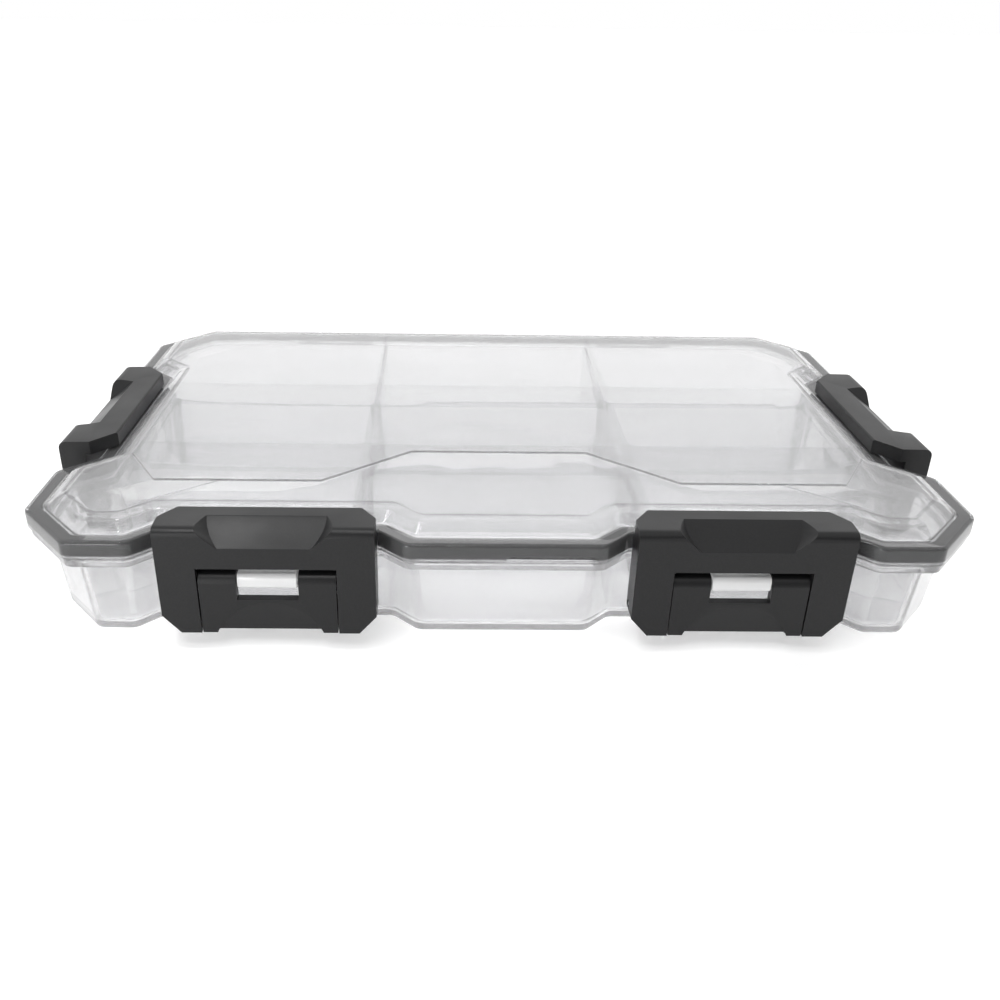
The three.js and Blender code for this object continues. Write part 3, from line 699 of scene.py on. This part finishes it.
# ---------------------------------------------------------------------------------------------------
# Latches. Each is two mouldings of black acetal with a satin, spark-eroded face: a frame that hooks
# over the rim, with a thumb ramp in its crest, and a lever below that draws it down over centre.
GRAIN_MM = 0.35  # spacing of the eroded grain, drawn about twice as coarse as it is
RAMP_GRAIN_MM = 0.55
FLOW_MM = 22  # width of the slow changes in gloss across a face
EDGE_ROUND = 0.0008  # metres: the radius on the mouldings' outer edges

latch_materials = []
# The second material is for the thumb ramp. Its coarser grain is real, and its lighter colour is painted sheen
# that stands for sky light on the upward-facing ramp.
for name, dark, light, grain_mm, rough, depth, shine in (
    ("black_acetal_satin", "#131314", "#1b1b1c", GRAIN_MM, 0.36, 0.00004, 0.32),
    ("black_acetal_textured_painted_sheen", "#252526", "#424243", RAMP_GRAIN_MM, 0.36, 0.00014, 0.62),
):
    made, tree = new_material(name)
    place = add(tree, "ShaderNodeTexCoord")
    spot = {"Vector": place.outputs["Object"]}
    pits = add(tree, "ShaderNodeTexNoise", {"Scale": 1000 / grain_mm, "Detail": 3.0}, spot)
    flow = add(tree, "ShaderNodeTexNoise", {"Scale": 1000 / FLOW_MM, "Detail": 2.0}, spot)
    tone = add(tree, "ShaderNodeValToRGB", None, {"Fac": pits.outputs[0]})
    tone.color_ramp.elements[0].position, tone.color_ramp.elements[1].position = 0.35, 0.7
    tone.color_ramp.elements[0].color = linear(dark)
    tone.color_ramp.elements[1].color = linear(light)
    satin = add(
        tree,
        "ShaderNodeMapRange",
        {"From Min": 0.3, "From Max": 0.7, "To Min": rough - 0.04, "To Max": rough + 0.05},
        {"Value": flow.outputs[0]},
    )
    dents = add(tree, "ShaderNodeBump", {"Strength": 0.35, "Distance": depth}, {"Height": pits.outputs[0]})
    acetal = add(
        tree,
        "ShaderNodeBsdfPrincipled",
        {"IOR": 1.48, "Specular IOR Level": shine},
        {"Base Color": tone.outputs[0], "Roughness": satin.outputs[0], "Normal": dents.outputs[0]},
    )
    add(tree, "ShaderNodeOutputMaterial", None, {"Surface": acetal.outputs[0]})
    latch_materials.append(made)


RAMP_NORMAL = np.array((0.0, -7.8, 10.9)) / 13.403  # of the thumb ramp, in a latch's own frame


def eased_moulding(name, node, body, spot):
    """A merged copy of a CAD latch part with its flat faces whole again and its edges rounded, since a
    moulding has no sharp ones."""
    work = bmesh.new()
    work.from_mesh(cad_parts[node].data)
    bmesh.ops.remove_doubles(work, verts=work.verts, dist=1e-6)
    bmesh.ops.dissolve_limit(work, angle_limit=np.radians(0.6), verts=work.verts, edges=work.edges)
    quarters = LATCH_SPOTS[spot][3]
    c, s = [(1, 0), (0, 1), (-1, 0), (0, -1)][quarters % 4]
    facing = RAMP_NORMAL @ np.array([[c, s, 0], [-s, c, 0], [0, 0, 1]], float)
    work.normal_update()
    # Faces turned the way of the thumb ramp take the second material, with its painted sheen.
    for face in work.faces:
        face.material_index = int(np.dot(face.normal, facing) > 0.999)
    mesh = bpy.data.meshes.new(name)
    work.to_mesh(mesh)
    work.free()
    mesh.materials.clear()
    for material in latch_materials:
        mesh.materials.append(material)
    mesh.shade_smooth()
    mesh.set_sharp_from_angle(angle=np.radians(33))
    made = bpy.data.objects.new(name, mesh)
    bpy.context.scene.collection.objects.link(made)
    rounding = made.modifiers.new("edges", "BEVEL")
    rounding.width, rounding.segments = EDGE_ROUND, 3
    rounding.limit_method, rounding.angle_limit = "ANGLE", np.radians(24)
    rounding.use_clamp_overlap = True
    rounding.harden_normals = True
    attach(made, body)
    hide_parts(node)
    return made


for spot in LATCH_SPOTS:
    eased_moulding(f"latch_{spot}_hook_frame", f"latch_frame_{spot}", f"frame_{spot}", spot)
    eased_moulding(f"latch_{spot}_draw_lever", f"latch_lever_{spot}", f"lever_{spot}", spot)

# ---------------------------------------------------------------------------------------------------
# Pins. Drawn stainless steel rod, cropped and chamfered, pressed through the knuckles.
PIN_R = 1.2

pin_steel, tree = new_material("stainless_steel_drawn")
place = add(tree, "ShaderNodeTexCoord")
spot = {"Vector": place.outputs["Object"]}
lines = add(tree, "ShaderNodeTexNoise", {"Scale": 1000 / 0.4, "Detail": 2.0}, spot)
polish = add(
    tree,
    "ShaderNodeMapRange",
    {"From Min": 0.3, "From Max": 0.7, "To Min": 0.22, "To Max": 0.4},
    {"Value": lines.outputs[0]},
)
steel = add(
    tree,
    "ShaderNodeBsdfPrincipled",
    {"Base Color": linear("#b9babb"), "Metallic": 1.0},
    {"Roughness": polish.outputs[0]},
)
add(tree, "ShaderNodeOutputMaterial", None, {"Surface": steel.outputs[0]})

a = np.linspace(0, 2 * np.pi, 24, endpoint=False)
rod = np.c_[np.cos(a), np.sin(a)] * PIN_R


def pin_grid(half):
    """A round rod along x, centred, with its two ends chamfered."""
    rows = np.array([(0.6, -half), (1.0, -half + 0.4), (1.0, half - 0.4), (0.6, half)])
    return np.stack([np.c_[np.full(len(rod), x), rod * share] for share, x in rows])


for spot, (kind, _, _, _) in LATCH_SPOTS.items():
    lever_half = LATCH[kind]["lever"] / 2 - 0.2
    frame_half = LATCH[kind]["width"] / 2 - 0.2
    for name, half, where, body in (
        ("lever_pin_", lever_half, (0, PIVOT_Y, PIVOT_Z), "tray"),
        ("frame_pin_", frame_half, (0, 5.4, -27.5), "lever_" + spot),
    ):
        grid = at_latch(pin_grid(half) + where, spot)
        make_piece("steel_" + name + spot, [shell(grid)], [pin_steel], body, [name + spot])
for side in ("left", "right"):
    where = ({"left": -1, "right": 1}[side] * HINGE_X, HINGE_Y, HINGE_Z)
    grid = pin_grid(HINGE_MIDDLE / 2 + HINGE_GAP + HINGE_END - 0.2) + where
    pin = "hinge_pin_" + side
    make_piece("steel_" + pin, [shell(grid)], [pin_steel], "tray", [pin])
